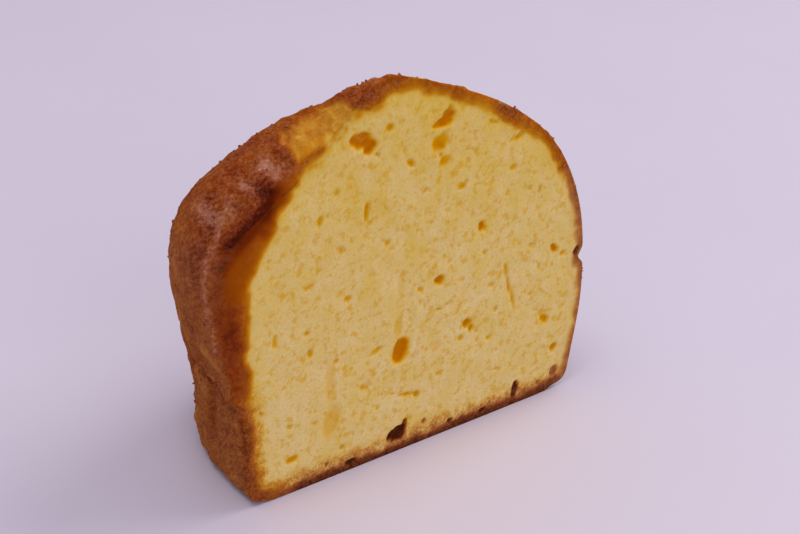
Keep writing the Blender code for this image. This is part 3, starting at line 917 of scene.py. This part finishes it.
def crust_colour(nodes, place, grain, gloss):
    """Browned crust: redder in the pits between its granules, with a painted highlight on top of them and
    along its shining lines.

    Its granules are drawn out a little, up and towards the cut."""
    fringe = nodes.value("fringe")
    drawing = {"Vector": place, "Rotation": (math.radians(48.0), 0.0, 0.0), "Scale": (1.0, 1.0, 1.8)}
    drawn = nodes.add("Mapping", drawing, vector_type="TEXTURE")
    granules = nodes.noise(drawn.outputs["Vector"], 0.62, 3.0, 0.7)
    pits = nodes.math("SUBTRACT", 0.5, granules)
    patches = nodes.math("SUBTRACT", nodes.noise(drawn.outputs["Vector"], 2.0, 3.0, 0.6), 0.5)
    blots = nodes.math("SUBTRACT", nodes.noise(place, 2.4, 3.0, 0.6), 0.5)
    dust = nodes.math("SUBTRACT", 0.5, nodes.noise(place, 0.6, 3.0, 0.7))
    varied = nodes.math("MULTIPLY_ADD", pits, nodes.math("MULTIPLY", grain, 0.7), nodes.value("bake_and_painted_light"))
    varied = nodes.math("MULTIPLY_ADD", patches, nodes.math("MULTIPLY", grain, 0.5), varied)
    varied = nodes.math("MULTIPLY_ADD", fringe, nodes.math("MULTIPLY_ADD", dust, 2.2, 0.34), varied)
    varied = nodes.math("MULTIPLY_ADD", nodes.math("MULTIPLY", fringe, blots), 1.6, varied)
    # The second palette: muted browning, with a painted pinkish sheen on the wall and the right rim.
    crust = nodes.mix(nodes.value("muted_and_painted_sheen"), nodes.ramp(varied, CRUST_COLOURS),
                      nodes.ramp(varied, MUTED_AND_PAINTED_SHEEN_COLOURS))
    # Painted highlight: pale colour on the granules' tops and in sparse specks where the crust is grainy
    # and glossy, and pale lines along the ridge's crest and the places where the crust shines.
    broad_painted_highlight = nodes.math("MULTIPLY", nodes.rescale(granules, 0.42, 0.66, 0.02, 0.7), gloss)
    specks = nodes.rescale(nodes.noise(place, 0.6, 2.0, 0.6), 0.57, 0.68, 0.0, 0.45)
    painted_highlight = nodes.math("MULTIPLY_ADD", specks, nodes.math("MULTIPLY", grain, gloss), broad_painted_highlight)
    painted_highlight = nodes.math("MAXIMUM", painted_highlight, nodes.rescale(gloss, 0.6, 1.15, 0.0, 0.42))
    return varied, nodes.mix(painted_highlight, crust, PAINTED_HIGHLIGHT), granules


def cake_material():
    """Crumb, pores and crust in one material, led by the looks on the mesh."""
    nodes = Nodes("baked_cake")
    place = nodes.place()
    grain = nodes.value("grain")
    gloss = nodes.value("gloss")
    crumb, sink = crumb_colour(nodes, place, nodes.value("hollow_shade"))
    varied, crust, granules = crust_colour(nodes, place, grain, gloss)
    colour = nodes.mix(nodes.rescale(varied, 0.02, 0.22), crumb, crust)
    nodes.set_input("Base Color", colour)
    nodes.set_input("Roughness", nodes.rescale(gloss, 0.0, 1.0, 0.8, 0.5))
    nodes.set_input("Coat Weight", nodes.rescale(gloss, 0.3, 1.1, 0.0, 0.35))
    nodes.set_input("Coat Roughness", 0.25)
    nodes.set_input("Specular IOR Level", 0.0)
    nodes.set_input("Sheen Weight", 0.02)
    nodes.set_input("Sheen Tint", srgb(255, 214, 190))
    nodes.let_light_in(1.2)
    crumb_height = nodes.math("MULTIPLY", nodes.noise(place, 0.6, 3.0, 0.65), 0.18)
    crumb_height = nodes.math("SUBTRACT", crumb_height, nodes.math("MULTIPLY", sink, 0.08))
    grain_height = nodes.math("MULTIPLY", granules, grain)
    height = nodes.math("MULTIPLY_ADD", grain_height, 1.7, crumb_height)
    bump = nodes.add("Bump", {"Height": height, "Distance": 0.5 * MM, "Strength": 1.0})
    nodes.set_input("Normal", bump.outputs["Normal"])
    return nodes.material


def grain_material():
    """Browned granules standing on the crust, from golden to dark."""
    nodes = Nodes("crust_grain")
    uneven = nodes.noise(nodes.place(), 0.4, 2.0)
    varied = nodes.math("MULTIPLY_ADD", uneven, 0.3, nodes.value("bake_and_painted_light"))
    nodes.set_input("Base Color", nodes.ramp(varied, CRUST_COLOURS))
    nodes.set_input("Roughness", 0.55)
    nodes.set_input("Specular IOR Level", 0.3)
    nodes.let_light_in(0.5)
    return nodes.material


def floor_material():
    """Pale glazed surface with the faintest unevenness."""
    nodes = Nodes("pale_floor")
    cloud = nodes.noise(nodes.place(), 60.0, 2.0)
    colour = nodes.mix(cloud, srgb(208, 202, 213), srgb(212, 206, 217))
    nodes.set_input("Base Color", colour)
    nodes.set_input("Roughness", 0.4)
    nodes.set_input("Specular IOR Level", 0.25)
    return nodes.material


# ---- the scene

def loaf_shift():
    """From the loaf's own millimetres to the CAD solid's place."""
    section = smooth_section()
    inward = section_normals(section)
    fine_depths, _ = ring_depths()
    points = [loaf_surface(section, inward, depth) for depth in fine_depths]
    across = np.concatenate(points)[:, 0] * MM
    middle = (across.min() + across.max()) / 2
    return np.array([(slice_low[0] + slice_high[0]) / 2 - middle, slice_low[1], slice_low[2]])


def make_slice(shift):
    """The baked slice in place of the CAD solid, with its granules."""
    places, faces, looks = slice_mesh()
    piece = add_mesh("cake_slice_baked", places, faces, looks, shift)
    piece.data.materials.append(cake_material())
    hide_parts("cake_slice")
    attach(piece, "root")
    make_grains(piece, places, looks, shift)


def round_grain():
    """Corners and triangles of a small ball."""
    shape = bmesh.new()
    bmesh.ops.create_icosphere(shape, subdivisions=2, radius=1.0)
    corners = np.array([vertex.co[:] for vertex in shape.verts])
    faces = np.array([[vertex.index for vertex in face.verts] for face in shape.faces])
    shape.free()
    return corners, faces


def make_grains(piece, places, looks, shift):
    """Small granules standing on the crust, thickest on the loaf's left side."""
    rng = np.random.default_rng(SEED)
    out = np.empty(3 * len(places))
    piece.data.vertex_normals.foreach_get("vector", out)
    out = out.reshape(-1, 3)
    x, _, z = places.T
    chance = looks["grain"] * blend((z - 4.0) / 4.0) * (0.15 + blend((30.0 - x) / 12.0))
    chance = chance * (looks["grain"] > 0.5) * (0.2 + blend(0.5 + noise(places, 5.0, 141)))
    chosen = rng.choice(len(places), GRAINS, replace=False, p=chance / chance.sum())
    corners, faces = round_grain()
    size = 0.09 + 0.20 * rng.random(GRAINS) ** 3
    lumps = 1.0 + 0.45 * rng.uniform(-1.0, 1.0, (GRAINS, len(corners), 1))
    stretch = rng.uniform(0.7, 1.3, (GRAINS, 1, 3))
    middle = places[chosen] + out[chosen] * (0.2 * size)[:, None]
    grains = middle[:, None] + corners * lumps * stretch * size[:, None, None]
    grains[..., 2] = np.maximum(grains[..., 2], 0.0)
    numbers = np.arange(GRAINS)[:, None, None] * len(corners) + faces
    side = math.ceil(math.sqrt(GRAINS))
    cell = np.stack([np.arange(GRAINS) % side, np.arange(GRAINS) // side], axis=1)
    spots = (cell[:, None] + 0.5 + 0.4 * corners[:, ::2]) / side
    bake_and_painted_light = np.repeat(looks["bake_and_painted_light"][chosen] + rng.uniform(-0.24, -0.04, GRAINS), len(corners))
    blocks = [(numbers.reshape(-1, 3), spots[:, faces].reshape(-1, 3, 2))]
    grain_piece = add_mesh("crust_grains", grains.reshape(-1, 3), blocks, {"bake_and_painted_light": bake_and_painted_light}, shift)
    grain_piece.data.materials.append(grain_material())
    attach(grain_piece, "root")


def make_floor():
    """Wide pale floor, just under the slice."""
    size = 3.0
    mesh = bpy.data.meshes.new("floor")
    corners = [(-size, -size, 0.0), (size, -size, 0.0), (size, size, 0.0), (-size, size, 0.0)]
    mesh.from_pydata(corners, [], [(0, 1, 2, 3)])
    floor = new_object("floor", mesh)
    floor.location.z = slice_low[2] - 0.02 * MM
    floor.data.materials.append(floor_material())


def make_light(name, place, aim, size, power, colour):
    """A round light turned towards its aim."""
    data = bpy.data.lights.new(name, "AREA")
    data.shape = "DISK"
    data.size = size
    data.energy = power
    data.color = colour
    light = new_object(name, data)
    light.location = place
    light.rotation_euler = (Vector(aim) - Vector(place)).to_track_quat("-Z", "Y").to_euler()
    return light


def make_lights():
    """A large soft key light from the right, two weaker fills, and a pale room."""
    aim = (0.0, 0.0, 0.03)
    make_light("key", (0.80, -0.10, 0.80), aim, 0.9, 5.5, (1.0, 0.96, 0.96))
    make_light("top", (-0.35, -0.10, 1.00), aim, 0.5, 2.4, (1.0, 0.95, 0.96))
    front = make_light("front", (-0.20, -1.00, 0.50), aim, 0.8, 1.9, (1.0, 0.96, 0.97))
    front.visible_glossy = False
    world = bpy.data.worlds.new("pale_room")
    world.use_nodes = True
    background = world.node_tree.nodes["Background"]
    background.inputs["Color"].default_value = (0.80, 0.74, 0.90, 1.0)
    background.inputs["Strength"].default_value = 0.62
    bpy.context.scene.world = world


def make_camera():
    """The camera, in front of the cut, to its left and above, turned slightly about its axis."""
    azimuth = math.radians(39.606)
    elevation = math.radians(28.5)
    roll = math.radians(4.15)
    distance = 0.25204
    target = Vector((-0.004093, slice_low[1], 0.04004))
    back = Vector((-math.sin(azimuth) * math.cos(elevation),
                   -math.cos(azimuth) * math.cos(elevation), math.sin(elevation)))
    right = (-back).cross(Vector((0.0, 0.0, 1.0))).normalized()
    up = right.cross(-back)
    tilted_right = math.cos(roll) * right + math.sin(roll) * up
    tilted_up = math.cos(roll) * up - math.sin(roll) * right
    data = bpy.data.cameras.new("camera")
    data.lens = 65.25
    data.sensor_width = 36.0
    data.clip_start = 0.01
    camera = new_object("camera", data)
    turn = Matrix((tilted_right, tilted_up, back)).transposed()
    camera.matrix_world = Matrix.Translation(target + back * distance) @ turn.to_4x4()
    bpy.context.scene.camera = camera


shift = loaf_shift()
make_slice(shift)
make_floor()
make_lights()
make_camera()
bpy.context.scene.view_settings.view_transform = "Standard"
